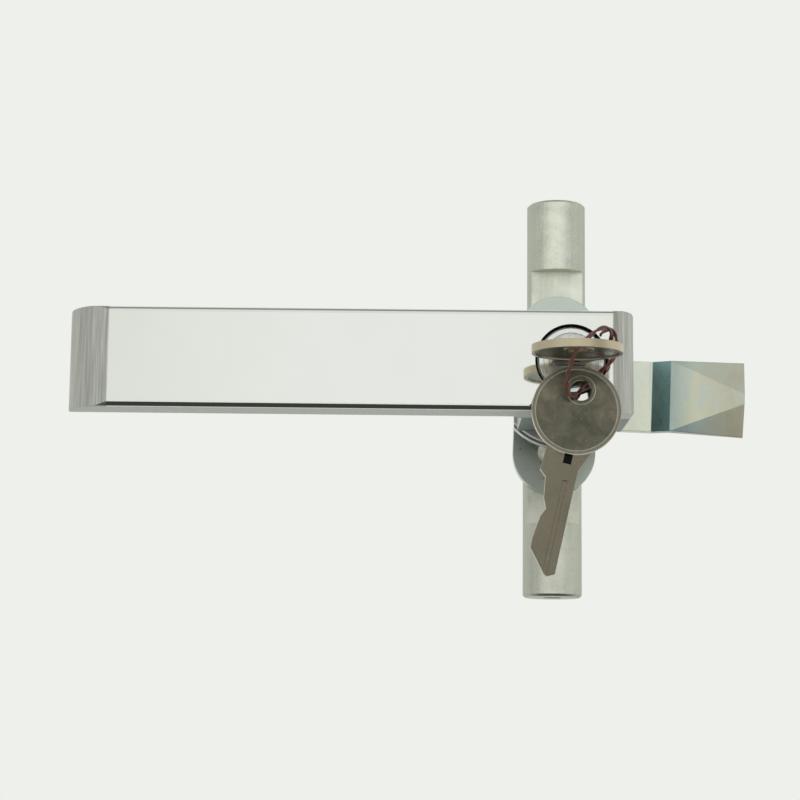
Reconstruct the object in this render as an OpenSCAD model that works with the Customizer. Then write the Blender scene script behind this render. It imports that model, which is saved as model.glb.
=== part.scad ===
// Locking L-handle for a cabinet door, with a three-point latch, two keys and a tie wire.
// Pieces are drawn as seen from in front of the door: x to the right, y up, z out towards the user,
// with z = 0 on the outer face of the door and the turning axis at x = y = 0.
// upright() then stands each piece up: the drawing's z becomes -Y and its y becomes +Z.

/* [Handle] */
// Overall length of the handle bar
bar_length = 141; // [120:1:170]
// Height of the bar's face
bar_height = 25.2; // [23:0.1:28]
// Thickness of the bar
bar_thickness = 12.5; // [12:0.5:15]
// Wall between the lock's bore and the bearing collar
web_t = 3; // [2.5:0.1:8]
// From the turning axis to the lock end of the bar
axis_to_end = 16; // [14.5:0.5:18]
// From the turning axis to the grip side of the foot
foot_reach = 11.5; // [10.8:0.1:13]
// Radius of the rounded grip end, in side view
grip_end_r = 12.6; // [12.5:0.1:14]
// Radius of the rounded lock end, in side view
lock_end_r = 9; // [8.5:0.5:11]
// Depth of the lock end's centre of curvature below the face
lock_end_depth = 8.4; // [7:0.1:8.4]
// Radius of the long edges of the face
face_edge_r = 1.5; // [0.4:0.1:1.8]
// Radius of the long edges at the back of the bar
back_edge_r = 2; // [0.5:0.1:2.8]
// Radius of the upright edges at the bar's ends
end_edge_r = 0.8; // [0.3:0.1:2]
// Fillet between the foot and the grip
foot_fillet_r = 1.5; // [1:0.1:8]
// Wall left around the cored pockets in the back of the bar
core_wall = 3.2; // [2.6:0.1:4.5]
// Number of cored pockets
core_count = 3; // [1:1:5]

/* [Lock] */
// Diameter of the cylinder shell
shell_d = 16.8; // [16.6:0.1:18.4]
// Diameter of the plug
plug_d = 13.5; // [13.2:0.1:14.2]
// Number of wafer tumblers
wafer_count = 5; // [3:1:5]
// Spacing of the wafer tumblers
wafer_pitch = 3.8; // [2.6:0.1:4]
// Thickness of a wafer
wafer_t = 1; // [0.7:0.1:1.3]
// Throw radius of the eccentric pin on the drive cam
throw_r = 2; // [1.8:0.05:2.2]
// Radius of the eccentric pin
throw_pin_r = 1; // [0.8:0.05:1.1]
// Thickness of the lock bolt
bolt_t = 2.2; // [1.8:0.1:2.4]
// Width of the lock bolt's tongue
bolt_tongue_w = 4; // [3:0.2:5]

/* [Keys] */
// Diameter of the key's bow
bow_d = 21.7; // [20:0.1:24]
// Thickness of the key
key_t = 2; // [1.6:0.1:2.2]
// Width of the blade
blade_w = 7.2; // [6.6:0.1:7.6]
// Length of the blade from its shoulder to its tip
blade_length = 23.4; // [21:0.2:30]
// From the centre of the bow to the shoulder
shank_length = 17.4; // [16.8:0.2:20]
// Diameter of the hole in the bow
bow_hole_d = 5.2; // [4.8:0.1:6]
// From the centre of the bow to its hole
bow_hole_out = 5; // [4.6:0.1:6]
// How far the key droops in its loose keyway
key_droop = 1.2; // [0:0.1:1.4]
// Tilt of the spare key as it hangs
spare_tilt = 12.5; // [8:0.5:16]

/* [Base] */
// Diameter of the rose on the door
rose_d = 34; // [32:0.5:40]
// Width of the rose across the flats at its sides
rose_w = 24.6; // [23:0.2:32]
// Thickness of the rose
rose_t = 3.5; // [3:0.1:4]
// Thickness of the door gasket
gasket_t = 1; // [0.8:0.1:1.4]
// Outer diameter of the threaded neck
neck_d = 18; // [16.5:0.5:20]
// Length of the neck behind the door face
neck_length = 8.3; // [8:0.1:11]
// Diameter of the bearing collar on the rose
collar_d = 18; // [17.4:0.1:18.2]
// Height of the bearing collar
collar_h = 3; // [2.6:0.1:3.4]
// Thickness of the mounting nut
nut_t = 4.5; // [4:0.1:4.6]
// Width of the mounting nut across its flats
nut_af = 24; // [22:0.5:27]
// Thickness of the toothed washer
tooth_washer_t = 0.9; // [0.6:0.1:1]

/* [Spindle and cams] */
// How far the cams stand clockwise of the bar
cam_lag = 2; // [0:0.5:4]
// Diameter of the spindle in its bearing
spindle_d = 10; // [9.9:0.05:10.4]
// Width across the spindle's square
square_af = 7; // [6.6:0.1:7]
// Thickness of the thrust washer
thrust_t = 0.7; // [0.5:0.1:1]
// Height of the wave washer
wave_h = 0.9; // [0.7:0.1:1.2]
// Thickness of the nose cam
nose_t = 3.5; // [3:0.1:3.6]
// Width of the nose cam
nose_w = 19; // [17:0.2:19.4]
// Reach of the nose from the turning axis
nose_reach = 50; // [44:0.5:56]
// Reach of the nose cam's flat part, up to its fold
nose_fold = 25.5; // [22:0.5:28]
// How far the tongue stands forward of the flat part
nose_rise = 3; // [2:0.1:3.4]
// Depth of the two lead-in ramps at the tip of the tongue
nose_ramp = 2.4; // [1.5:0.1:2.6]
// Thickness of the rod cam
rod_cam_t = 4; // [3.5:0.1:5]
// Radius of the rod cam's round ends
rod_cam_end_r = 11.1; // [10:0.1:12]
// From the turning axis to each rod pivot
pivot_r = 16; // [15.2:0.1:18]

/* [Rod ends] */
// Diameter of a rod end
rod_d = 16; // [14:0.5:16.4]
// From the rod pivot to the outer end of the rod end
rod_reach = 38.4; // [36:0.1:60]
// Length of the round part
rod_round = 19.5; // [18:0.5:22]
// Thickness of the flattened part
rod_flat_t = 7.7; // [6.5:0.1:8.5]
// Tapping diameter of the thread in the outer end
rod_thread_d = 5; // [4.2:0.1:6.8]
// Depth of the thread in the outer end
rod_thread_depth = 15; // [10:0.5:16]
// Diameter of the rivets that the rod ends turn on
rivet_d = 6; // [5:0.1:6.6]

/* [Hidden] */
$fn = 64;

// Clearances: a shaft in its bearing, a pushed-in piece, faces that pass, loose room, and cut overrun
run_gap = 0.05;
push_gap = 0.02;
face_gap = 0.1;
wide_gap = 0.3;
over = 1;

// How far the corners of a hexagon are turned off
hex_turned = 0.97;

// Colours
chrome = [0.86, 0.87, 0.88];
zinc = [0.68, 0.70, 0.67];
blue_zinc = [0.52, 0.58, 0.58];
steel = [0.55, 0.56, 0.57];
brass = [0.76, 0.65, 0.38];
bronze = [0.46, 0.43, 0.37];
rubber = [0.12, 0.12, 0.12];
wire_brown = [0.42, 0.18, 0.13];

// Lock stack, from the door out to the bar's face
rose_front = gasket_t + rose_t;
collar_top = rose_front + collar_h;
web_rear = collar_top + face_gap;
web_front = web_rear + web_t;
bolt_rear = web_front + face_gap;
bolt_front = bolt_rear + bolt_t;
drive_rear = bolt_front + 2 * face_gap;
drive_r = 5.5;
drive_t = 1.3;
drive_key = [6, 3];
drive_key_y = -4;
plug_rear = drive_rear + drive_t;
ring_land = 0.3;
ring_t = 0.8;
ring_depth = 0.5;
ring_w = 1.7;
ring_opening = 8;
ring_rear = plug_rear + ring_land;
ring_front = ring_rear + ring_t;
keyway_gap = 0.15;
keyway_side = blade_length / 2 * tan(key_droop) + run_gap;
keyway_depth = blade_length + wide_gap;
shell_rear = ring_front + face_gap;
shell_front = shell_rear + keyway_depth + wide_gap;
shell_recess = 0.4;
face_z = shell_front + shell_recess;
shell_r = shell_d / 2;
shell_bore_r = shell_r + run_gap;
shell_bevel = 0.5;
plug_r = plug_d / 2;
plug_bore_r = plug_r + run_gap;

// Bar and foot
grip_room = face_z - bar_thickness;
bar_right = axis_to_end;
bar_left = bar_right - bar_length;
half_h = bar_height / 2;
foot_rear = rose_front + 2 * face_gap;
foot_top = face_z - lock_end_depth;
lock_ring_w = 0.5;
lock_ring_depth = 2;
core_floor = face_z - core_wall;
core_left = bar_left + 2.5 * core_wall;
core_right = -foot_reach - foot_fillet_r - core_wall;
core_rib = 2.4;
core_corner_r = 2;
core_w = (core_right - core_left - (core_count - 1) * core_rib) / core_count;
core_h = bar_height - 2 * core_wall;

// Set screw that holds the shell
set_screw_r = 2;
set_screw_bite = 0.8;
set_screw_sunk = 0.4;
set_screw_socket = 1.2;
set_screw_z = (grip_room - foot_fillet_r + shell_rear) / 2;

// Keyway and wafers
back_edge = 3.4;
cut_edge = back_edge - blade_w;
wafer_w = 6;
wafer_inset = 0.15;
wafer_lug_w = 1.6;
wafer_lug_h = 1.8;
wafer_first = 4;
wafer_spring_r = 0.5;
wafer_spring_wire_r = 0.14;
wafer_spring_length = 3;
wafer_spring_turns = 4;
wafer_spring_steps = 9;
wafer_spring_sides = 6;
wafer_spring_y = wafer_w / 2 + wafer_lug_w / 2;
wafer_pocket_r = wafer_spring_r + wafer_spring_wire_r + face_gap;

// Lock bolt: the eccentric pin starts 45 degrees off the bolt's line, and turns a quarter
pin_rest = 45;
pin_at = throw_r * cos(pin_rest);
bolt_travel = 2 * pin_at;
collar_r = collar_d / 2;
tongue_in = collar_r + wide_gap;
tongue_t = 2.9;
tongue_out = tongue_in + tongue_t;
tongue_tip = rose_front + 5 * face_gap;
bolt_plate_h = 8.8;
bolt_plate_left = -2;
bolt_plate_right = 6;
bolt_slot_gap = 0.15;
pocket_in = tongue_in - bolt_travel - wide_gap;

// Quarter-turn stop
stop_r = 1.2;
stop_ring_r = 7;
stop_start = 135;
stop_turn = 90;
stop_slack = 1.5;
stop_depth = 1.5;
stop_hold = 2;

// Rose, neck, nut and seal
rose_r = rose_d / 2;
rose_edge_r = 1.2;
gasket_inset = 0.7;
neck_r = neck_d / 2;
neck_flat = neck_r - 0.5;
neck_rear = -neck_length;
nut_rear = neck_rear + 0.7;
nut_front = nut_rear + nut_t;
tooth_washer_r = nut_af / 2 + 0.6;
tooth_count = 16;
tooth_gap_r = 0.8;
spindle_r = spindle_d / 2;
bearing_r = spindle_r + run_gap;
seal_wire_r = 0.75;
seal_ring_r = bearing_r - push_gap - seal_wire_r;
seal_z = -1;

// Cams behind the door, each one stacked on the last
thrust_front = neck_rear - run_gap;
thrust_rear = thrust_front - thrust_t;
wave_rear = thrust_rear - wave_h;
wave_r = neck_r - 0.6;
wave_t = 0.4;
wave_count = 3;
wave_steps = 48;
nose_front = wave_rear;
nose_rear = nose_front - nose_t;
nose_slope = 4.6;
nose_heel = nose_fold + nose_slope;
nose_tip_w = nose_w + 1.2;
nose_tip_flat = 2.6;
rod_cam_front = nose_rear;
rod_cam_rear = rod_cam_front - rod_cam_t;
spindle_rear = rod_cam_rear + 2 * face_gap;
screw_r = 2.5;
screw_length = 11;
screw_clear_r = screw_r + face_gap;
cam_washer_r = 6;
cam_washer_t = 1.4;
spring_washer_r = 5.2;
spring_washer_t = 1.3;
split_w = 0.8;
screw_head_af = 8;
screw_head_h = 4;
screw_seat = rod_cam_rear - cam_washer_t - spring_washer_t;

// Rod ends and rivets
rod_r = rod_d / 2;
rod_front = rod_cam_rear - 2 * face_gap;
rod_axis_z = rod_front - rod_flat_t / 2;
rod_rear = rod_front - rod_flat_t;
rod_end = pivot_r + rod_reach;
rod_shoulder = rod_end - rod_round;
rod_chamfer = 0.6;
rivet_r = rivet_d / 2;
rivet_head_r = rivet_r + 1.5;
rivet_head_h = 1.6;
rivet_washer_r = rivet_r + 2;
rivet_washer_t = 0.8;
rivet_washer_front = rod_rear - face_gap;
rivet_end = rivet_washer_front - rivet_washer_t;

// Keys, drawn with the bow's centre at the origin and the tip downwards
bow_r = bow_d / 2;
bow_field = 0.3;
bow_rim_w = 0.9;
hole_ring_w = 0.9;
key_tip = shank_length + blade_length;
shoulder_w = 5.4;
shoulder_h = 1.4;
// Shank: half widths at its top and where it is widest, towards the blade's back and towards its cuts,
// and how far its top, widest part and neck are from the shoulder
shank_back = [4.4, 5.6];
shank_front = [4.4, 5.2];
shank_top_run = 10;
shank_swell_run = 7.7;
shank_neck_run = 3;
shank_top = shank_length - shank_top_run;
shank_swell = shank_length - shank_swell_run;
shank_neck = shank_length - shank_neck_run;
window = [2, 2.4];
window_at = [0.5, 12.1];
window_depth = 1.4;
groove_w = 1.1;
groove_depth = 0.45;
groove_at = 0.4;
tip_flat = 1.7;
tip_back = 0.9;
tip_rise = 5.8;
// Cuts in the blade: distance from the shoulder, depth
bits = [[5.1, 0.7], [7.7, 1.8], [9.6, 0.9], [12, 0.5], [15.5, 0.1]];
lock_bow_z = shell_front + face_gap + shank_length;
blade_middle_z = shell_front - blade_length / 2;
spare_gap = 4;
spare_z = face_z + spare_gap + key_t / 2;
spare_hole = [1.8, -8.5];

// Tie wire through both bows, as points chosen by hand: x, y, and z counted from the bar's face
tie_r = 0.5;
tie_sides = 8;
tie_steps = 2;
tie_route = [
    [8.2, 2.1, 13.4], [8.3, 3.4, 15.2], [7.5, 4.2, 17.4], [6.1, 4.3, 19.4], [4.3, 3.3, 20.9], [2.7, 1.9, 21.9],
    [1.3, 0.6, 22.3], [0.2, -0.6, 22], [-0.8, -2, 21.2], [-1.5, -3.7, 19.2], [-2, -5.5, 16.4],
    [-2.2, -7.4, 13.4], [-2.1, -8.8, 10.8], [-1.4, -10.1, 9.2], [-0.3, -10.4, 8], [0.8, -9.7, 6.6],
    [1.7, -8.5, 5.1], [2.7, -7.1, 3.6], [4.1, -5.6, 2.6], [5.9, -4, 2.5], [7.5, -2.8, 3.7],
    [8.9, -1.6, 6], [9.9, -0.2, 8.4], [9.9, 1.2, 10.2], [9.8, 2.8, 12], [9.1, 4.1, 13.7],
    [7.8, 4.8, 14.8], [6.4, 4, 16.2], [5.5, 3, 17]
];

// Points on a smooth curve through a route
function route_at(p, i) = p[max(0, min(len(p) - 1, i))];
function curve_point(p, i, t) =
    let (a = route_at(p, i - 1), b = p[i], c = route_at(p, i + 1), d = route_at(p, i + 2))
    b + t / 2 * (c - a + t * (2 * a - 5 * b + 4 * c - d + t * (3 * (b - c) + d - a)));
function smooth_route(p, steps) = [
    for (i = [0 : len(p) - 2], s = [0 : steps - 1]) curve_point(p, i, s / steps),
    p[len(p) - 1]
];
function unit(v) = v / norm(v);
function headings(p) = [
    for (i = [0 : len(p) - 1]) unit(route_at(p, i + 1) - route_at(p, i - 1))
];
function square_to(n, heading) = unit(n - (n * heading) * heading);

// Tube of radius r swept along the points p, with its rings turned as little as possible
module tube(p, r, sides) {
    t = headings(p);
    n = [
        for (i = 0, a = square_to([0.3, 0.9, 0.2], t[0]); i < len(p);
            i = i + 1, a = square_to(a, t[min(i, len(p) - 1)])) a
    ];
    rings = [
        for (i = [0 : len(p) - 1], k = [0 : sides - 1])
            let (b = cross(t[i], n[i]), w = 360 * k / sides)
            p[i] + r * (cos(w) * n[i] + sin(w) * b)
    ];
    last = (len(p) - 1) * sides;
    polyhedron(rings, concat(
        [[for (k = [0 : sides - 1]) k]],
        [for (i = [0 : len(p) - 2], k = [0 : sides - 1])
            let (a = i * sides + k, b = i * sides + (k + 1) % sides)
            [a, a + sides, b + sides, b]],
        [[for (k = [sides - 1 : -1 : 0]) last + k]]
    ));
}

// Shared shapes
module upright() {
    rotate([90, 0, 0])
    children();
}

module disc(r, z0, z1) {
    translate([0, 0, z0])
    cylinder(r = r, h = z1 - z0);
}

module ring(r_in, r_out, z0, z1) {
    difference() {
        disc(r_out, z0, z1);
        disc(r_in, z0 - over, z1 + over);
    }
}

// Turns what stands on the spindle's rear square
module lagging() {
    rotate([0, 0, -cam_lag])
    children();
}

module square_bar(af, z0, z1) {
    translate([-af / 2, -af / 2, z0])
    cube([af, af, z1 - z0]);
}

module rounded_rect(w, h, r) {
    square([w - 2 * r, h], center = true);
    square([w, h - 2 * r], center = true);
    for (sx = [-1, 1], sy = [-1, 1])
        translate([sx * (w / 2 - r), sy * (h / 2 - r)])
        circle(r);
}

// Hexagon with its corners turned off
module hex_head(af, z0, z1) {
    corner_r = af / 2 / cos(30);
    intersection() {
        translate([0, 0, z0])
        cylinder(r = corner_r, h = z1 - z0, $fn = 6);
        disc(hex_turned * corner_r, z0, z1);
    }
}

// Low domed head that stands on z = 0
module dome(r, h) {
    ball_r = (r * r + h * h) / (2 * h);
    rotate_extrude()
    intersection() {
        translate([0, h - ball_r])
        circle(ball_r);
        square([r, h]);
    }
}

// Side view of the bar, x along and z out: a flat face with both ends rounded off
module bar_side() {
    intersection() {
        translate([bar_left, grip_room])
        square([bar_length, bar_thickness]);
        union() {
            translate([bar_left + grip_end_r, grip_room])
            circle(grip_end_r);
            translate([bar_right - lock_end_r, foot_top])
            circle(lock_end_r);
            translate([bar_left + grip_end_r, grip_room])
            square([bar_length - grip_end_r - lock_end_r, bar_thickness]);
            translate([bar_right - 2 * lock_end_r, grip_room])
            square([2 * lock_end_r, foot_top - grip_room]);
        }
    }
}

// Section of the bar, y across and z out, with face and back corners of their own radii
module bar_section() {
    translate([-half_h, grip_room + back_edge_r])
    square([bar_height, bar_thickness - back_edge_r - face_edge_r]);
    translate([-half_h + back_edge_r, grip_room])
    square([bar_height - 2 * back_edge_r, bar_thickness - face_edge_r]);
    translate([-half_h + face_edge_r, grip_room + bar_thickness / 2])
    square([bar_height - 2 * face_edge_r, bar_thickness / 2]);
    for (side = [-1, 1]) {
        translate([side * (half_h - back_edge_r), grip_room + back_edge_r])
        circle(back_edge_r);
        translate([side * (half_h - face_edge_r), face_z - face_edge_r])
        circle(face_edge_r);
    }
}

// Side view of the foot, with its fillet under the grip
module foot_side() {
    translate([-foot_reach, foot_rear])
    square([foot_reach + bar_right, foot_top - foot_rear]);
    difference() {
        translate([-foot_reach - foot_fillet_r, grip_room - foot_fillet_r])
        square([foot_fillet_r, foot_fillet_r + back_edge_r]);
        translate([-foot_reach - foot_fillet_r, grip_room - foot_fillet_r])
        circle(foot_fillet_r);
    }
}

module handle_casting() {
    intersection() {
        union() {
            intersection() {
                rotate([90, 0, 0])
                linear_extrude(bar_height, center = true)
                bar_side();
                translate([bar_left, 0, 0])
                rotate([90, 0, 90])
                linear_extrude(bar_length)
                bar_section();
            }
            rotate([90, 0, 0])
            linear_extrude(bar_height, center = true)
            foot_side();
        }
        translate([bar_right - bar_length / 2, 0, 0])
        linear_extrude(face_z)
        rounded_rect(bar_length, bar_height, end_edge_r);
    }
}

module set_screw_hole(x0, x1) {
    translate([x0, 0, set_screw_z])
    rotate([0, 90, 0])
    cylinder(r = set_screw_r + push_gap, h = x1 - x0);
}

module handle_bar() {
    color(chrome)
    difference() {
        handle_casting();
        disc(shell_bore_r, web_front, face_z + over);
        disc(shell_bore_r + lock_ring_w, face_z - lock_ring_depth, face_z + over);
        translate([0, -bolt_tongue_w / 2 - face_gap, web_front])
        cube([tongue_out + wide_gap, bolt_tongue_w + 2 * face_gap, bolt_front + face_gap - web_front]);
        translate([pocket_in, -bolt_tongue_w / 2 - face_gap, foot_rear - over])
        cube([tongue_out + wide_gap - pocket_in, bolt_tongue_w + 2 * face_gap, web_front + over - foot_rear]);
        disc(collar_r + run_gap, foot_rear - over, web_rear);
        square_bar(square_af + 2 * push_gap, foot_rear, web_front + over);
        rotate([0, 0, stop_start])
        translate([stop_ring_r, 0, 0])
        disc(stop_r + push_gap, web_rear - over, web_rear + stop_hold);
        set_screw_hole(-foot_reach - over, -shell_r + over);
        for (i = [0 : core_count - 1])
            translate([core_left + core_w / 2 + i * (core_w + core_rib), 0, grip_room - over])
            linear_extrude(core_floor - grip_room + over)
            rounded_rect(core_w, core_h, core_corner_r);
    }
}

module lock_cylinder() {
    color(zinc)
    difference() {
        union() {
            disc(shell_r, shell_rear, shell_front - shell_bevel);
            translate([0, 0, shell_front - shell_bevel])
            cylinder(r1 = shell_r, r2 = shell_r - shell_bevel, h = shell_bevel);
        }
        disc(plug_bore_r, shell_rear - over, shell_front + over);
        set_screw_hole(-shell_r - over, -shell_r + set_screw_bite);
    }
}

module cylinder_screw() {
    outer = -foot_reach + set_screw_sunk;
    inner = -shell_r + set_screw_bite - push_gap;
    color(steel)
    translate([outer, 0, set_screw_z])
    rotate([0, 90, 0])
    difference() {
        cylinder(r = set_screw_r, h = inner - outer);
        translate([0, 0, -over])
        cylinder(r = set_screw_r / 2, h = set_screw_socket + over, $fn = 6);
    }
}

// Room for one wafer, or the wafer itself with no gap
module wafer_block(gap, reach) {
    translate([-reach, -wafer_w / 2 - gap, -wafer_t / 2 - gap])
    cube([2 * reach, wafer_w + 2 * gap, wafer_t + 2 * gap]);
}

module each_wafer() {
    for (i = [0 : wafer_count - 1])
        translate([0, 0, shell_front - wafer_first - i * wafer_pitch])
        children();
}

module lock_plug() {
    lug_room = wafer_lug_h / 2 + face_gap;
    color(brass)
    difference() {
        union() {
            disc(plug_r, plug_rear, shell_front);
            translate([-drive_key.x / 2, drive_key_y, drive_rear])
            cube([drive_key.x, drive_key.y, plug_rear - drive_rear + over]);
        }
        translate([cut_edge - keyway_gap, -key_t / 2 - keyway_side, shell_front - keyway_depth])
        cube([blade_w + 2 * keyway_gap, key_t + 2 * keyway_side, keyway_depth + over]);
        ring(plug_r - ring_depth, plug_r + over, ring_rear - push_gap, ring_front + push_gap);
        each_wafer() {
            wafer_block(face_gap, plug_r + over);
            translate([-lug_room, 0, -wafer_t / 2 - face_gap])
            cube([2 * lug_room, wafer_w / 2 + wafer_lug_w + face_gap, wafer_t + 2 * face_gap]);
            translate([-wafer_lug_h / 2 - wafer_spring_length, wafer_spring_y, 0])
            rotate([0, 90, 0])
            cylinder(r = wafer_pocket_r, h = wafer_spring_length + wafer_lug_h / 2);
        }
    }
}

module wafer_tumblers() {
    color(brass)
    each_wafer()
    difference() {
        intersection() {
            union() {
                wafer_block(0, plug_r);
                translate([-wafer_lug_h / 2, 0, -wafer_t / 2])
                cube([wafer_lug_h, wafer_w / 2 + wafer_lug_w, wafer_t]);
            }
            disc(plug_r - wafer_inset, -over, over);
        }
        translate([cut_edge - keyway_gap, -key_t / 2 - keyway_side, -over])
        cube([blade_w + 2 * keyway_gap, key_t + 2 * keyway_side, 2 * over]);
    }
}

module wafer_springs() {
    steps = wafer_spring_turns * wafer_spring_steps;
    run = wafer_spring_length - 2 * wafer_spring_wire_r;
    coil = [
        for (i = [0 : steps])
            let (w = 360 * i / wafer_spring_steps)
            [run * i / steps, wafer_spring_r * cos(w), wafer_spring_r * sin(w)]
    ];
    color(steel)
    each_wafer()
    translate([wafer_spring_wire_r - wafer_lug_h / 2 - wafer_spring_length, wafer_spring_y, 0])
    tube(coil, wafer_spring_wire_r, wafer_spring_sides);
}

module plug_ring() {
    color(steel)
    difference() {
        ring(plug_r - ring_depth + push_gap, plug_r - ring_depth + ring_w, ring_rear, ring_front);
        translate([0, -ring_opening / 2, ring_rear - over])
        cube([2 * plug_r, ring_opening, ring_t + 2 * over]);
    }
}

module drive_cam() {
    color(steel)
    difference() {
        union() {
            disc(drive_r, drive_rear, plug_rear);
            translate([pin_at, pin_at, 0])
            disc(throw_pin_r, bolt_rear + face_gap, plug_rear);
        }
        translate([-drive_key.x / 2 - push_gap, drive_key_y - push_gap, drive_rear - over])
        cube([drive_key.x + 2 * push_gap, drive_key.y + 2 * push_gap, drive_t + 2 * over]);
    }
}

module lock_bolt() {
    slot_half = throw_pin_r + bolt_slot_gap;
    color(steel) {
        translate([0, 0, bolt_rear])
        linear_extrude(bolt_t)
        difference() {
            union() {
                translate([bolt_plate_left, -bolt_plate_h / 2])
                square([bolt_plate_right - bolt_plate_left, bolt_plate_h]);
                translate([0, -bolt_tongue_w / 2])
                square([tongue_out, bolt_tongue_w]);
            }
            translate([pin_at - slot_half, pin_at - slot_half])
            square([2 * slot_half, throw_r - pin_at + 2 * slot_half]);
        }
        translate([tongue_in, -bolt_tongue_w / 2, tongue_tip])
        cube([tongue_t, bolt_tongue_w, bolt_front - tongue_tip]);
    }
}

module bolt_pocket(turn) {
    rotate([0, 0, turn])
    translate([pocket_in, -bolt_tongue_w / 2 - wide_gap, rose_front + wide_gap])
    cube([collar_r, bolt_tongue_w + 2 * wide_gap, collar_h + over]);
}

module stop_groove() {
    groove_r = stop_r + face_gap;
    translate([0, 0, collar_top - stop_depth]) {
        rotate([0, 0, stop_start - stop_slack])
        rotate_extrude(angle = stop_turn + 2 * stop_slack)
        translate([stop_ring_r - groove_r, 0])
        square([2 * groove_r, stop_depth + over]);
        for (turn = [stop_start - stop_slack, stop_start + stop_turn + stop_slack])
            rotate([0, 0, turn])
            translate([stop_ring_r, 0, 0])
            cylinder(r = groove_r, h = stop_depth + over);
    }
}

// Slab that leaves a disc with two flat sides
module flat_sides(w) {
    translate([-w / 2, -rose_r, -over])
    cube([w, rose_d, rose_front + 2 * over]);
}

module base_rose() {
    color(chrome)
    difference() {
        union() {
            intersection() {
                translate([0, 0, gasket_t])
                rotate_extrude() {
                    square([rose_r - rose_edge_r, rose_t]);
                    square([rose_r, rose_t - rose_edge_r]);
                    translate([rose_r - rose_edge_r, rose_t - rose_edge_r])
                    circle(rose_edge_r);
                }
                flat_sides(rose_w);
            }
            disc(collar_r, gasket_t, collar_top);
            intersection() {
                disc(neck_r, neck_rear, rose_front);
                translate([-neck_flat, -neck_r, neck_rear])
                cube([2 * neck_flat, neck_d, rose_front - neck_rear]);
            }
        }
        disc(bearing_r, neck_rear - over, collar_top + over);
        bolt_pocket(0);
        bolt_pocket(stop_turn);
        stop_groove();
    }
}

module door_gasket() {
    color(rubber)
    intersection() {
        ring(neck_r + run_gap, rose_r - gasket_inset, 0, gasket_t);
        flat_sides(rose_w - 2 * gasket_inset);
    }
}

module tooth_washer() {
    color(steel)
    difference() {
        ring(neck_r + run_gap, tooth_washer_r, nut_front, nut_front + tooth_washer_t);
        for (i = [0 : tooth_count - 1])
            rotate([0, 0, 360 * i / tooth_count])
            translate([tooth_washer_r, 0, 0])
            disc(tooth_gap_r, nut_front - over, nut_front + tooth_washer_t + over);
    }
}

module mounting_nut() {
    color(blue_zinc)
    difference() {
        hex_head(nut_af, nut_rear, nut_front);
        disc(neck_r + push_gap, nut_rear - over, nut_front + over);
    }
}

module spindle() {
    seal_room = seal_wire_r + push_gap;
    color(steel)
    difference() {
        union() {
            lagging()
            square_bar(square_af, spindle_rear, nose_front + over);
            disc(spindle_r, nose_front, web_rear);
            square_bar(square_af, web_rear - over, web_front);
        }
        ring(seal_ring_r - seal_room, spindle_r + over, seal_z - seal_room, seal_z + seal_room);
        disc(screw_r, spindle_rear - over, spindle_rear + screw_length);
    }
}

module spindle_seal() {
    color(rubber)
    translate([0, 0, seal_z])
    rotate_extrude()
    translate([seal_ring_r, 0])
    circle(seal_wire_r);
}

module stop_pin() {
    color(steel)
    rotate([0, 0, stop_start])
    translate([stop_ring_r, 0, 0])
    disc(stop_r, collar_top - stop_depth + 2 * face_gap, web_rear + stop_hold - push_gap);
}

module thrust_washer() {
    color(rubber)
    ring(spindle_r + run_gap, neck_r, thrust_rear, thrust_front);
}

module wave_washer() {
    middle = (thrust_rear + wave_rear) / 2;
    swing = (wave_h - wave_t) / 2;
    corners = [
        for (i = [0 : wave_steps - 1])
            let (w = 360 * i / wave_steps, z = middle + swing * cos(wave_count * w))
            for (c = [[bearing_r, -1], [wave_r, -1], [wave_r, 1], [bearing_r, 1]])
                [c[0] * cos(w), c[0] * sin(w), z + c[1] * wave_t / 2]
    ];
    sides = [
        for (i = [0 : wave_steps - 1], k = [0 : 3])
            let (a = 4 * i, b = 4 * ((i + 1) % wave_steps), m = (k + 1) % 4)
            [a + k, a + m, b + m, b + k]
    ];
    color(steel)
    polyhedron(corners, sides);
}

// Side view of the nose cam, x along and z out: a flat part, a fold and the tongue forward of it
module nose_side() {
    polygon([
        [-nose_w / 2, nose_rear], [nose_fold, nose_rear],
        [nose_heel, nose_rear + nose_rise], [nose_reach, nose_rear + nose_rise],
        [nose_reach, nose_front + nose_rise], [nose_heel, nose_front + nose_rise],
        [nose_fold, nose_front], [-nose_w / 2, nose_front]
    ]);
}

module nose_plan() {
    circle(nose_w / 2);
    polygon([
        [0, -nose_w / 2], [nose_heel, -nose_w / 2], [nose_reach, -nose_tip_w / 2],
        [nose_reach, nose_tip_w / 2], [nose_heel, nose_w / 2], [0, nose_w / 2]
    ]);
}

// What is ground off one side of the tongue: nothing at its heel, and nose_ramp deep at the tip's corner
module nose_ramp_cut() {
    run = nose_reach - nose_heel;
    turn = atan2(nose_w / 2 - nose_tip_flat / 2, run);
    tip_out = (nose_tip_w / 2 - nose_tip_flat / 2) * cos(turn);
    translate([nose_heel, nose_w / 2, nose_front + nose_rise])
    rotate([-atan2(nose_ramp, tip_out), 0, -turn])
    cube([2 * run, nose_w, nose_t]);
}

module nose_cam() {
    color(blue_zinc)
    lagging()
    difference() {
        intersection() {
            rotate([90, 0, 0])
            linear_extrude(2 * nose_tip_w, center = true)
            nose_side();
            translate([0, 0, nose_rear - over])
            linear_extrude(nose_t + nose_rise + 2 * over)
            nose_plan();
        }
        nose_ramp_cut();
        mirror([0, 1, 0])
        nose_ramp_cut();
        square_bar(square_af + 2 * push_gap, nose_rear - over, nose_front + over);
    }
}

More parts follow.
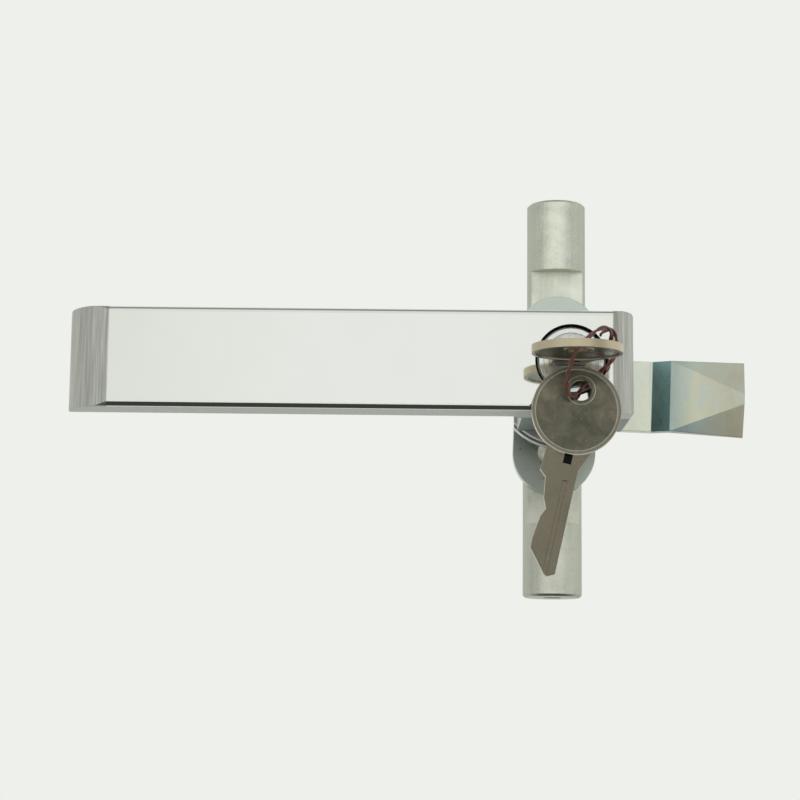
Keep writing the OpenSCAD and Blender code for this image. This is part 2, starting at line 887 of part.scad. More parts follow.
module rod_cam() {
    color(blue_zinc)
    lagging()
    translate([0, 0, rod_cam_rear])
    linear_extrude(rod_cam_t)
    difference() {
        union() {
            square([2 * rod_cam_end_r, 2 * pivot_r], center = true);
            for (side = [-1, 1])
                translate([0, side * pivot_r])
                circle(rod_cam_end_r);
        }
        square(square_af + 2 * push_gap, center = true);
        for (side = [-1, 1])
            translate([0, side * pivot_r])
            circle(rivet_r + push_gap);
    }
}

module cam_washer() {
    color(zinc)
    ring(screw_clear_r, cam_washer_r, rod_cam_rear - cam_washer_t, rod_cam_rear);
}

module spring_washer() {
    color(steel)
    difference() {
        ring(screw_clear_r, spring_washer_r, screw_seat, screw_seat + spring_washer_t);
        translate([0, -split_w / 2, screw_seat - over])
        cube([2 * spring_washer_r, split_w, spring_washer_t + 2 * over]);
    }
}

module cam_screw() {
    color(zinc) {
        hex_head(screw_head_af, screw_seat - screw_head_h, screw_seat);
        disc(screw_r - push_gap, screw_seat - over, spindle_rear + screw_length - over);
    }
}

module at_pivots() {
    lagging()
    for (side = [-1, 1])
        translate([0, side * pivot_r, 0])
        children();
}

module rod_rivets() {
    color(zinc)
    at_pivots() {
        translate([0, 0, rod_cam_front])
        dome(rivet_head_r, rivet_head_h);
        disc(rivet_r, rivet_end - push_gap, rod_cam_front + push_gap);
        translate([0, 0, rivet_end])
        mirror([0, 0, 1])
        dome(rivet_head_r, rivet_head_h);
    }
}

module rivet_washers() {
    color(zinc)
    at_pivots()
    ring(rivet_r + push_gap, rivet_washer_r, rivet_end, rivet_washer_front);
}

// Cylinder along the rod
module rod_length(r, y0, y1) {
    translate([0, y0, rod_axis_z])
    rotate([-90, 0, 0])
    cylinder(r = r, h = y1 - y0);
}

// Upper rod end: it hangs plumb from the pivot that the rod cam carries
module rod_end_piece() {
    color(zinc)
    translate([pivot_r * sin(cam_lag), pivot_r * (cos(cam_lag) - 1), 0])
    difference() {
        union() {
            rod_length(rod_r, rod_shoulder, rod_end - rod_chamfer);
            translate([0, rod_end - rod_chamfer, rod_axis_z])
            rotate([-90, 0, 0])
            cylinder(r1 = rod_r, r2 = rod_r - rod_chamfer, h = rod_chamfer);
            intersection() {
                rod_length(rod_r, pivot_r - rod_r, rod_shoulder + over);
                translate([-rod_r, pivot_r - rod_r, rod_rear])
                cube([rod_d, rod_shoulder + over - pivot_r + rod_r, rod_flat_t]);
                union() {
                    translate([0, pivot_r, 0])
                    disc(rod_r, rod_rear, rod_front);
                    translate([-rod_r, pivot_r, rod_rear])
                    cube([rod_d, rod_shoulder + over - pivot_r, rod_flat_t]);
                }
            }
        }
        translate([0, pivot_r, 0])
        disc(rivet_r + run_gap, rod_rear - over, rod_front + over);
        rod_length(rod_thread_d / 2, rod_end - rod_thread_depth, rod_end + over);
    }
}

module upper_rod_end() {
    rod_end_piece();
}

module lower_rod_end() {
    rotate([0, 0, 180])
    rod_end_piece();
}

module key_outline() {
    circle(bow_r);
    polygon(concat(
        [
            [-shank_front.x, -shank_top], [-shank_front.y, -shank_swell - shoulder_h],
            [-shoulder_w, -shank_length + shoulder_h], [cut_edge, -shank_length]
        ],
        [
            for (cut = bits)
                if (cut[0] < blade_length - tip_rise)
                    [cut_edge + cut[1], -shank_length - cut[0]]
        ],
        [
            [cut_edge + tip_back / 5, -key_tip + tip_rise],
            [back_edge - tip_flat - tip_back, -key_tip + tip_back / 2],
            [back_edge - tip_flat, -key_tip], [back_edge, -key_tip + tip_back],
            [back_edge, -shank_neck], [shank_back.y, -shank_swell], [shank_back.x, -shank_top]
        ]
    ));
}

module key_blank() {
    difference() {
        linear_extrude(key_t, center = true)
        difference() {
            key_outline();
            translate([0, bow_hole_out])
            circle(bow_hole_d / 2);
        }
        translate([window_at.x, -window_at.y, key_t / 2 - window_depth])
        linear_extrude(key_t)
        square(window, center = true);
        for (side = [-1, 1])
            translate([0, 0, side * key_t / 2])
            linear_extrude(2 * bow_field, center = true)
            difference() {
                circle(bow_r - bow_rim_w);
                translate([0, bow_hole_out])
                circle(bow_hole_d / 2 + hole_ring_w);
            }
        translate([groove_at, -key_tip - over, key_t / 2 - groove_depth])
        cube([groove_w, blade_length + over, key_t]);
    }
}

module lock_key() {
    color(bronze)
    translate([0, 0, blade_middle_z])
    rotate([key_droop, 0, 0])
    translate([0, 0, lock_bow_z - blade_middle_z])
    rotate([90, 0, 0])
    key_blank();
}

module spare_key() {
    color(bronze)
    translate([spare_hole.x, spare_hole.y, spare_z])
    rotate([0, 0, -spare_tilt])
    translate([0, -bow_hole_out, 0])
    key_blank();
}

module key_tie() {
    color(wire_brown)
    translate([0, 0, face_z])
    tube(smooth_route(tie_route, tie_steps), tie_r, tie_sides);
}

upright() base_rose();
upright() door_gasket();
upright() tooth_washer();
upright() mounting_nut();
upright() handle_bar();
upright() lock_cylinder();
upright() cylinder_screw();
upright() spindle();
upright() spindle_seal();
upright() stop_pin();
upright() thrust_washer();
upright() wave_washer();
upright() nose_cam();
upright() rod_cam();
upright() cam_washer();
upright() spring_washer();
upright() cam_screw();
upright() rod_rivets();
upright() rivet_washers();
upright() lock_plug();
upright() wafer_tumblers();
upright() wafer_springs();
upright() plug_ring();
upright() drive_cam();
upright() lock_bolt();
upright() lock_key();
upright() key_tie();
upright() spare_key();
upright() upper_rod_end();
upright() lower_rod_end();
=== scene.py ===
import math

import bpy
import numpy as np
from mathutils import Matrix, Vector


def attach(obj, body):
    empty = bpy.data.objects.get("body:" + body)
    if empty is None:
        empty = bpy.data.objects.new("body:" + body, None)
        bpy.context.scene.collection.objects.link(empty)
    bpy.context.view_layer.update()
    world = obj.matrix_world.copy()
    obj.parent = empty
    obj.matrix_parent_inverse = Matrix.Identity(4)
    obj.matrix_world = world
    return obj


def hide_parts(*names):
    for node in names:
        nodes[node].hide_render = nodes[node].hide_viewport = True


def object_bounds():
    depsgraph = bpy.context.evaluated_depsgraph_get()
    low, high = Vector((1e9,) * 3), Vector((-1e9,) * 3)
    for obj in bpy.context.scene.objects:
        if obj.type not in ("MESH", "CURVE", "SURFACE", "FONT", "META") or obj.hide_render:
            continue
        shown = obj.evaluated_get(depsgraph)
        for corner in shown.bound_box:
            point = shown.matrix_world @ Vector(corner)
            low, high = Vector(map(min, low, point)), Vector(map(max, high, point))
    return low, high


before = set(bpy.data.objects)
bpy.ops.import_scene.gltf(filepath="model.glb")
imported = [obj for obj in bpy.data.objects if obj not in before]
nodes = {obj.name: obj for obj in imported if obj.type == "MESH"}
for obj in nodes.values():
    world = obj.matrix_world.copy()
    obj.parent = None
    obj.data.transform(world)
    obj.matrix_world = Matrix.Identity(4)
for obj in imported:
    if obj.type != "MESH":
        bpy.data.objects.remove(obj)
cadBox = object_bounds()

scene = bpy.context.scene
scene.view_settings.view_transform = "Standard"
mm = 0.001
print("frame loaded:", len(nodes), "nodes")


# camera
cameraSetup = {
    "place": (-0.03963, -0.54305, -0.0905),  # in front of the bar, below the lock and a little left of it
    "tiltUp": 9.043,
    "panRight": -0.273,
    "rollClockwise": 0.632,
    "lens": 93.64,
    "sensor": 36.0,
    "clip": (0.01, 50),
}


def makeCamera(setup):
    tilt, pan, roll = (math.radians(setup[k]) for k in ("tiltUp", "panRight", "rollClockwise"))
    data = bpy.data.cameras.new("photoCamera")
    data.lens = setup["lens"]
    data.sensor_width = setup["sensor"]
    data.clip_start, data.clip_end = setup["clip"]
    camera = bpy.data.objects.new("photoCamera", data)
    turn = (Matrix.Rotation(-pan, 4, "Z") @ Matrix.Rotation(math.pi / 2 + tilt, 4, "X")
            @ Matrix.Rotation(roll, 4, "Z"))
    camera.matrix_world = Matrix.Translation(setup["place"]) @ turn
    scene.collection.objects.link(camera)
    scene.camera = camera


makeCamera(cameraSetup)
print("camera placed")


# tie wire: two coated strands twisted slowly round each other
tieWire = {
    "strandRadius": 0.3 * mm,
    "strandOffset": 0.24 * mm,  # each strand's centre from the tie's centre line
    "twistLength": 8.5 * mm,
    "ringSides": 32,
    "pointsPerStep": 12,
    "aside": (-1.0, 0.5, 0.9),  # lies well across the whole route, so the rings never flip
    "face": 40.0,  # the route's third number counts out from the bar's face
    "route": [
        (8.2, 2.1, 13.4), (8.3, 3.4, 15.2), (7.5, 4.2, 17.4), (6.1, 4.3, 19.4), (4.3, 3.3, 20.9),
        (2.7, 1.9, 21.9), (1.3, 0.6, 22.3), (0.2, -0.6, 22), (-0.8, -2, 21.2), (-1.5, -3.7, 19.2),
        (-2, -5.5, 16.4), (-2.2, -7.4, 13.4), (-2.1, -8.8, 10.8), (-1.4, -10.1, 9.2), (-0.3, -10.4, 8),
        (0.8, -9.7, 6.6), (1.7, -8.5, 5.1), (2.7, -7.1, 3.6), (4.1, -5.6, 2.6), (5.9, -4, 2.5),
        (7.5, -2.8, 3.7), (8.9, -1.6, 6), (9.9, -0.2, 8.4), (9.9, 1.2, 10.2), (9.8, 2.8, 12),
        (9.1, 4.1, 13.7), (7.8, 4.8, 14.8), (6.4, 4, 16.2), (5.5, 3, 17),
    ],
}


# a smooth curve through the route: each stretch is a cubic that starts and ends along its neighbours' chord
def smoothRoute(points, perStep):
    p = np.vstack([points[:1], points, points[-1:]])
    a, b, c, d = (q[:, None, :] for q in (p[:-3], p[1:-2], p[2:-1], p[3:]))
    t = np.linspace(0, 1, perStep, endpoint=False)[None, :, None]
    curve = b + t / 2 * (c - a + t * (2 * a - 5 * b + 4 * c - d + t * (3 * (b - c) + d - a)))
    return np.vstack([curve.reshape(-1, 3), points[-1:]])


def unit(v):
    return v / np.linalg.norm(v, axis=-1, keepdims=True)


# the outline of two overlapping circles, which reaches offset * |cos| + sqrt(radius^2 - offset^2 * sin^2)
# from their middle, carried along the path and turned steadily round it
def twistedPair(path, setup):
    along = unit(np.gradient(path, axis=0))
    aside = np.array(setup["aside"])
    across = unit(aside - (along @ aside)[:, None] * along)
    upward = np.cross(along, across)
    run = np.concatenate([[0], np.cumsum(np.linalg.norm(np.diff(path, axis=0), axis=1))])
    angle = np.linspace(0, 2 * math.pi, setup["ringSides"], endpoint=False)
    r, d = setup["strandRadius"], setup["strandOffset"]
    reach = d * np.abs(np.cos(angle)) + np.sqrt(r * r - (d * np.sin(angle)) ** 2)
    turned = angle[None, :] + 2 * math.pi * run[:, None] / setup["twistLength"]
    rings = path[:, None, :] + reach[None, :, None] * (
        np.cos(turned)[..., None] * across[:, None, :] + np.sin(turned)[..., None] * upward[:, None, :])
    return rings, run


# a closed tube through the rings, with a fan of triangles on each end
def ringTube(name, path, rings):
    count, sides = rings.shape[:2]
    i, j = np.meshgrid(np.arange(count - 1), np.arange(sides), indexing="ij")
    k = (j + 1) % sides
    low, high = i * sides, (i + 1) * sides
    walls = np.stack([low + j, low + k, high + k, high + j], -1).reshape(-1, 4)
    first, last = count * sides, count * sides + 1
    j, k = np.arange(sides), (np.arange(sides) + 1) % sides
    top = (count - 1) * sides
    caps = np.vstack([np.stack([k, j, np.full(sides, first)], -1),
                      np.stack([top + j, top + k, np.full(sides, last)], -1)])
    corners = np.vstack([rings.reshape(-1, 3), path[:1], path[-1:]])
    mesh = bpy.data.meshes.new(name)
    mesh.from_pydata(corners.tolist(), [], walls.tolist() + caps.tolist())
    mesh.polygons.foreach_set("use_smooth", np.arange(len(mesh.polygons)) < len(walls))
    piece = bpy.data.objects.new(name, mesh)
    scene.collection.objects.link(piece)
    return piece


def makeTieWire(setup):
    r = np.array(setup["route"], float)
    points = np.stack([r[:, 0], -(r[:, 2] + setup["face"]), r[:, 1]], 1) * mm
    path = smoothRoute(points, setup["pointsPerStep"])
    rings, run = twistedPair(path, setup)
    tie = ringTube("tieWire", path, rings)
    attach(tie, "key")
    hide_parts("key_tie")
    print("tie wire length mm:", round(float(run[-1]) / mm, 1))
    return tie


wire = makeTieWire(tieWire)


# small helpers for node trees
class Tree:
    def __init__(self, name):
        self.material = bpy.data.materials.new(name)
        self.material.use_nodes = True
        self.tree = self.material.node_tree
        self.tree.nodes.clear()
        self.out = self.add("ShaderNodeOutputMaterial")
        self.shader = self.add("ShaderNodeBsdfPrincipled")
        self.join(self.shader, "BSDF", self.out, "Surface")
        coords = self.add("ShaderNodeTexCoord")
        self.place = coords.outputs["Object"]
        self.facing = coords.outputs["Normal"]

    def add(self, kind, **settings):
        node = self.tree.nodes.new(kind)
        for key, value in settings.items():
            setattr(node, key, value)
        return node

    def join(self, a, outName, b, inName):
        self.tree.links.new(a.outputs[outName], b.inputs[inName])

    def feed(self, value, socket):
        if isinstance(value, bpy.types.NodeSocket):
            self.tree.links.new(value, socket)
        else:
            socket.default_value = value

    def math(self, how, a, b=0.0):
        node = self.add("ShaderNodeMath", operation=how)
        for value, socket in zip((a, b), node.inputs):
            self.feed(value, socket)
        return node.outputs[0]

    def times(self, first, *more):
        for value in more:
            first = self.math("MULTIPLY", first, value)
        return first

    # weighted sum of values
    def blend(self, values, weights):
        total = None
        for value, weight in zip(values, weights):
            part = self.times(value, weight)
            total = part if total is None else self.math("ADD", total, part)
        return total

    # straight ramp of a value from one span to another, held at its ends
    def span(self, value, low, high, toLow=0.0, toHigh=1.0):
        node = self.add("ShaderNodeMapRange")
        for item, socket in zip((value, low, high, toLow, toHigh), node.inputs):
            self.feed(item, socket)
        return node.outputs[0]

    # how far a value lies from another, on either side
    def apart(self, value, other):
        return self.math("ABSOLUTE", self.math("SUBTRACT", value, other))

    def axes(self, vector=None):
        node = self.add("ShaderNodeSeparateXYZ")
        self.feed(vector or self.place, node.inputs[0])
        return node.outputs[0], node.outputs[1], node.outputs[2]

    def length(self, a, b):
        return self.math("SQRT", self.math("ADD", self.times(a, a), self.times(b, b)))

    # the piece's coordinates moved, turned (degrees) and stretched
    def mapped(self, move=(0, 0, 0), turn=(0, 0, 0), stretch=(1, 1, 1), kind="POINT"):
        node = self.add("ShaderNodeMapping", vector_type=kind)
        self.feed(self.place, node.inputs["Vector"])
        node.inputs["Location"].default_value = move
        node.inputs["Rotation"].default_value = [math.radians(a) for a in turn]
        node.inputs["Scale"].default_value = stretch
        return node.outputs[0]

    def noise(self, scale, detail=4.0, rough=0.55, vector=None, twist=0.0):
        node = self.add("ShaderNodeTexNoise")
        self.feed(vector or self.place, node.inputs["Vector"])
        node.inputs["Scale"].default_value = scale
        node.inputs["Detail"].default_value = detail
        node.inputs["Roughness"].default_value = rough
        node.inputs["Distortion"].default_value = twist
        return node.outputs["Fac"]

    # noise drawn out into streaks: one stretch per axis, in waves per metre
    def streaks(self, stretch, turn=(0, 0, 0), detail=4.0, rough=0.6, twist=0.0):
        return self.noise(1, detail, rough, self.mapped(turn=turn, stretch=stretch), twist)

    def ramp(self, value, stops):
        node = self.add("ShaderNodeValToRGB")
        self.feed(value, node.inputs[0])
        marks = node.color_ramp.elements
        while len(marks) < len(stops):
            marks.new(0.5)
        for mark, (at, colour) in zip(marks, stops):
            mark.position = at
            mark.color = (*colour, 1)
        return node.outputs[0]

    def mix(self, share, a, b):
        node = self.add("ShaderNodeMix", data_type="RGBA")
        node.clamp_factor = True
        for value, socket in ((share, node.inputs[0]), (a, node.inputs[6]), (b, node.inputs[7])):
            self.feed((*value, 1) if isinstance(value, tuple) else value, socket)
        return node.outputs[2]

    def between(self, share, a, b):
        node = self.add("ShaderNodeMix")
        for value, socket in ((share, node.inputs[0]), (a, node.inputs[2]), (b, node.inputs[3])):
            self.feed(value, socket)
        return node.outputs[0]

    # bump from a height, on edges eased by a small radius
    def bump(self, height, strength, depth, ease=0.0):
        node = self.add("ShaderNodeBump")
        self.feed(height, node.inputs["Height"])
        node.inputs["Strength"].default_value = strength
        node.inputs["Distance"].default_value = depth
        if ease:
            edge = self.add("ShaderNodeBevel", samples=6)
            edge.inputs["Radius"].default_value = ease
            self.join(edge, "Normal", node, "Normal")
        self.join(node, "Normal", self.shader, "Normal")

    def finish(self, colour, rough, metal=1.0):
        self.feed((*colour, 1) if isinstance(colour, tuple) else colour, self.shader.inputs["Base Color"])
        self.feed(rough, self.shader.inputs["Roughness"])
        self.shader.inputs["Metallic"].default_value = metal
        return self.material


# In the materials, a pair of places, directions or noise values is where a look begins and where it is full.
# A pair named rough or share is what a noise runs between, and bump is strength, depth and the edges' easing.
noiseRange = (0.3, 0.7)  # where most values of a noise lie

# polished chrome on the bar's face and its rounded edges, satin brushed on its ends, lower side, back and
# foot, with painted light on faces turned down and painted shade on the foot behind the grip
chromeBar = {
    "faceDepth": (-38.1 * mm, -38.6 * mm),
    "facesFront": (-0.1, -0.26),
    "gripCrease": (-114.15 * mm, -113.8 * mm),
    "lockCrease": (10.4 * mm, 10.05 * mm),
    "polished": (0.80, 0.825, 0.775),
    "polishedRough": (0.05, 0.1),
    "smeared": (0.74, 0.765, 0.72),
    "smearScale": 38,
    "smearFrom": (0.45, 0.8),
    "smearMost": 0.3,
    "smearRange": (0.4, 0.8),
    "brushWaves": (2600, 2600, 70),
    "broadWaves": (500, 500, 12),
    "streakShares": (0.85, 0.15),  # of the fine and the broad streaks
    "satin": [(0.34, (0.39, 0.395, 0.36)), (0.64, (0.61, 0.615, 0.57))],
    "satinRough": (0.52, 0.42),
    "facesDown": (-0.4, -0.7),
    "downMost": 0.85,
    # painted light: faces turned down take this pale tone in place of the satin
    "paintedUndersideLight": (0.68, 0.69, 0.645),
    "behindGrip": (-28 * mm, -26.5 * mm),
    # painted shade on the foot's faces turned down, behind the grip
    "footShade": (0.26, 0.31, 0.31),
    # painted shade in the groove round the lock: how far out it reaches, how deep it lies, and its colour
    "grooveReach": (9.03 * mm, 8.98 * mm),
    "grooveDepth": (-39.2 * mm, -38.8 * mm),
    "grooveShade": (0.012, 0.012, 0.012),
    "waveScale": 14,
    "waveHeight": 0.05,
    "brushHeight": 0.7,
    "bump": (0.22, 0.05 * mm),
}


def chromeBarMaterial(setup):
    t = Tree("chromeBar")
    x, y, z = t.axes()
    _, front, up = t.axes(t.facing)
    face = t.times(t.span(y, *setup["faceDepth"]), t.span(front, *setup["facesFront"]),
                   t.span(x, *setup["gripCrease"]), t.span(x, *setup["lockCrease"]))
    brush = t.streaks(setup["brushWaves"], detail=5)
    broad = t.streaks(setup["broadWaves"], detail=3, rough=0.5)
    streak = t.blend((brush, broad), setup["streakShares"])
    # painted light on faces turned down, and painted shade on those of the foot behind the grip
    below = t.mix(t.span(y, *setup["behindGrip"]), setup["paintedUndersideLight"], setup["footShade"])
    down = t.times(t.span(up, *setup["facesDown"]), setup["downMost"])
    satin = t.mix(down, t.ramp(streak, setup["satin"]), below)
    smear = t.noise(setup["smearScale"], detail=5, rough=0.6, twist=0.8)
    smeared = t.span(smear, *setup["smearFrom"], toHigh=setup["smearMost"])
    polished = t.mix(smeared, setup["polished"], setup["smeared"])
    rough = t.between(face, t.span(streak, *noiseRange, *setup["satinRough"]),
                      t.span(smear, *setup["smearRange"], *setup["polishedRough"]))
    wave = t.times(t.noise(setup["waveScale"], detail=2, rough=0.4), setup["waveHeight"])
    brushed = t.times(brush, t.math("SUBTRACT", 1.0, face), setup["brushHeight"])
    t.bump(t.math("ADD", brushed, wave), *setup["bump"])
    # painted shade in the groove round the lock
    groove = t.times(t.span(t.length(x, z), *setup["grooveReach"]), t.span(y, *setup["grooveDepth"]))
    return t.finish(t.mix(groove, t.mix(face, satin, polished), setup["grooveShade"]), rough)


# metal with faint rings from turning about the handle's axis
turning = {
    "patchScale": 160,
    "patchRange": (0.35, 0.7),
    "shares": (0.6, 0.4),  # of the rings and the patches
    "darkAt": 0.32,
    "lightAt": 0.62,
    "ringBump": 0.3,
}
chromeRose = {
    **turning,
    "light": (0.72, 0.73, 0.70),
    "dark": (0.58, 0.59, 0.57),
    "rough": (0.3, 0.4),
    "ringScale": 1500,
    "ringDepth": 0.03 * mm,
    "easedEdge": 0.3 * mm,
}
brightShell = {
    **turning,
    "light": (0.82, 0.84, 0.82),
    "dark": (0.58, 0.60, 0.60),
    "rough": (0.1, 0.2),
    "ringScale": 2600,
    "ringDepth": 0.03 * mm,
    "easedEdge": 0.15 * mm,
}
turnedSteel = {
    **turning,
    "light": (0.60, 0.61, 0.60),
    "dark": (0.36, 0.365, 0.36),
    "rough": (0.24, 0.4),
    "ringScale": 3200,
    "ringDepth": 0.04 * mm,
    "easedEdge": 0.15 * mm,
}


def turnedMetal(name, setup):
    t = Tree(name)
    x, _, z = t.axes()
    noise = t.add("ShaderNodeTexNoise", noise_dimensions="1D")
    t.feed(t.times(t.length(x, z), setup["ringScale"]), noise.inputs["W"])
    noise.inputs["Scale"].default_value = 1
    noise.inputs["Detail"].default_value = 4
    rings = noise.outputs["Fac"]
    patch = t.noise(setup["patchScale"], detail=5, rough=0.6)
    share = t.blend((rings, patch), setup["shares"])
    colour = t.ramp(share, [(setup["darkAt"], setup["dark"]), (setup["lightAt"], setup["light"])])
    t.bump(rings, setup["ringBump"], setup["ringDepth"], setup["easedEdge"])
    return t.finish(colour, t.span(patch, *setup["patchRange"], *setup["rough"]))


# plated zinc with a thin film that shifts between blue, pale green and straw, in soft upright streaks, with
# painted shade past the fold on the tongue's ramps and slope and a painted highlight along the fold
noseFilm = {
    "cloudWaves": (230, 120, 110),
    "fineScale": 900,
    "uprightWaves": (1900, 900, 60),
    "shares": (0.72, 0.12, 0.16),  # of the clouds, the fine grain and the upright streaks
    "blue": (0.53, 0.60, 0.57),
    "green": (0.59, 0.63, 0.54),
    "straw": (0.65, 0.635, 0.48),
    "tintsAt": (0.34, 0.47, 0.58, 0.70),  # blue, green, straw and green again
    "strip": (0.79, 0.82, 0.71),
    "stripTo": (27.5 * mm, 26.5 * mm),
    "stripMost": 0.7,
    "foldAt": 25.3 * mm,
    "foldSoft": 0.6 * mm,
    # a painted highlight along the fold: its width and strength
    "foldHighlightWidth": (0.35 * mm, 0.15 * mm),
    "foldHighlightMost": 0.7,
    "lean": 2.0,
    # painted shade on the tongue's ramps: the one below, browner towards the tip, and the one above
    "lowerRampShade": (0.46, 0.54, 0.51),
    "lowerRampShadeBrown": (0.58, 0.55, 0.42),
    "facesDown": (-0.14, -0.22),
    "upperRampShade": (0.46, 0.51, 0.44),
    "facesUp": (0.14, 0.22),
    "upperMost": 0.75,
    # painted shade beside the fold, fading out along the tongue
    "paintedFoldShade": (0.24, 0.36, 0.36),
    "fadeTo": (37 * mm, 29.5 * mm),
    "fadeShare": (0.6, 1.0),
    "fadeMost": 0.85,
    # painted shade on the slope, over the film's teal, in upright streaks
    "slopeShadeTeal": (0.32, 0.58, 0.60),
    "slopeFrom": (-0.28, -0.5),  # how far a face has to turn back from the nose to count as its slope
    "tealStreaks": (0.35, 0.65),
    "tealShare": (0.95, 0.6),
    "brown": (0.47, 0.43, 0.32),
    "brownFrom": (36 * mm, 50 * mm),
    "brownClouds": (0.35, 0.6),
    "brownShare": (0.15, 0.75),
    # bare metal in the scratches, and the colour of the painted highlight along the fold
    "bareMetalAndHighlight": (0.78, 0.80, 0.73),
    "scratchWaves": (2600, 900, 140),
    "scratchTurn": (0, 20, 0),
    "scratchFrom": (0.6, 0.74),
    "scratchMost": 0.35,
    "bumpShares": (0.7, 0.3),  # of the fine grain and the scratches
    "bump": (0.22, 0.03 * mm, 0.2 * mm),
    "fineRange": (0.3, 0.75),
    "rough": (0.26, 0.4),
}
camFilm = {
    **noseFilm,
    "blue": (0.54, 0.62, 0.59),
    "green": (0.58, 0.63, 0.57),
    "straw": (0.60, 0.61, 0.52),
    "strip": (0.56, 0.62, 0.57),
}


def filmZinc(name, setup):
    t = Tree(name)
    x = t.axes()[0]
    aside, _, up = t.axes(t.facing)
    cloud = t.streaks(setup["cloudWaves"], detail=3, rough=0.5, twist=0.5)
    fine = t.noise(setup["fineScale"], detail=5, rough=0.65)
    upright = t.streaks(setup["uprightWaves"])
    share = t.blend((cloud, fine, upright), setup["shares"])
    tints = [setup[tint] for tint in ("blue", "green", "straw", "green")]
    film = t.ramp(share, list(zip(setup["tintsAt"], tints)))
    film = t.mix(t.times(t.span(x, *setup["stripTo"]), setup["stripMost"]), film, setup["strip"])
    # past the fold: painted shade on the tongue's ramps below and above, beside the fold, and on the slope
    past = t.span(x, setup["foldAt"] - setup["foldSoft"], setup["foldAt"] + setup["foldSoft"])
    brown = t.span(x, *setup["brownFrom"])
    lowerRampShade = t.mix(brown, setup["lowerRampShade"], setup["lowerRampShadeBrown"])
    film = t.mix(t.times(past, t.span(up, *setup["facesDown"])), film, lowerRampShade)
    film = t.mix(t.times(past, t.span(up, *setup["facesUp"]), setup["upperMost"]), film, setup["upperRampShade"])
    foldShadeMask = t.times(past, t.span(x, *setup["fadeTo"]), t.span(cloud, *noiseRange, *setup["fadeShare"]))
    film = t.mix(t.times(foldShadeMask, setup["fadeMost"]), film, setup["paintedFoldShade"])
    slope = t.times(past, t.span(aside, *setup["slopeFrom"]))
    streaky = t.span(upright, *setup["tealStreaks"], *setup["tealShare"])
    film = t.mix(t.times(slope, streaky), film, setup["slopeShadeTeal"])
    cloudy = t.span(cloud, *setup["brownClouds"], *setup["brownShare"])
    film = t.mix(t.times(brown, cloudy), film, setup["brown"])
    # a painted highlight along the fold, and bare metal in the scratches
    across = t.axes(t.mapped(turn=(0, setup["lean"], 0), kind="TEXTURE"))[0]
    fold = t.span(t.apart(across, setup["foldAt"]), *setup["foldHighlightWidth"])
    film = t.mix(t.times(fold, setup["foldHighlightMost"]), film, setup["bareMetalAndHighlight"])
    scratch = t.streaks(setup["scratchWaves"], setup["scratchTurn"], rough=0.7)
    colour = t.mix(t.span(scratch, *setup["scratchFrom"], toHigh=setup["scratchMost"]), film, setup["bareMetalAndHighlight"])
    t.bump(t.blend((fine, scratch), setup["bumpShares"]), *setup["bump"])
    return t.finish(colour, t.span(fine, *setup["fineRange"], *setup["rough"]))


# grainy matte zinc plate over drawn bar, with painted light on faces turned to the front and painted shade on
# faces turned to the sides
rodZinc = {
    "grainScale": 1500,
    "patchScale": 150,
    "drawnWaves": (900, 900, 30),
    "shares": (0.45, 0.3, 0.25),  # of the grain, the patches and the drawn lines
    "tones": [(0.36, (0.51, 0.53, 0.44)), (0.5, (0.69, 0.71, 0.605)), (0.64, (0.82, 0.84, 0.73))],
    # painted light: faces turned to the front take this pale tone, in patches
    "front": (0.93, 0.945, 0.835),
    "facesFront": (-0.85, -0.99),
    "frontPatches": (0.35, 0.65),
    "frontShare": (0.3, 0.75),
    # painted shade: faces turned to the sides take this dark tone
    "side": (0.40, 0.42, 0.36),
    "facesAside": (0.35, 0.95),
    "sideMost": 0.7,
    "bumpShares": (1.0, 0.5),  # of the grain and the drawn lines
    "bump": (0.4, 0.05 * mm, 0.2 * mm),
    "rough": (0.36, 0.5),
}


def grainZinc(name, setup):
    t = Tree(name)
    aside, front, _ = t.axes(t.facing)
    grain = t.noise(setup["grainScale"], detail=3, rough=0.7)
    patch = t.noise(setup["patchScale"], detail=5, rough=0.6, twist=0.4)
    drawn = t.streaks(setup["drawnWaves"], detail=3, rough=0.5)
    colour = t.ramp(t.blend((grain, patch, drawn), setup["shares"]), setup["tones"])
    # painted light on faces turned to the front, in patches
    patchy = t.span(patch, *setup["frontPatches"], *setup["frontShare"])
    colour = t.mix(t.times(t.span(front, *setup["facesFront"]), patchy), colour, setup["front"])
    # painted shade on faces turned to the sides
    side = t.span(t.math("ABSOLUTE", aside), *setup["facesAside"])
    colour = t.mix(t.times(side, setup["sideMost"]), colour, setup["side"])
    t.bump(t.blend((grain, drawn), setup["bumpShares"]), *setup["bump"])
    return t.finish(colour, t.span(grain, *noiseRange, *setup["rough"]))


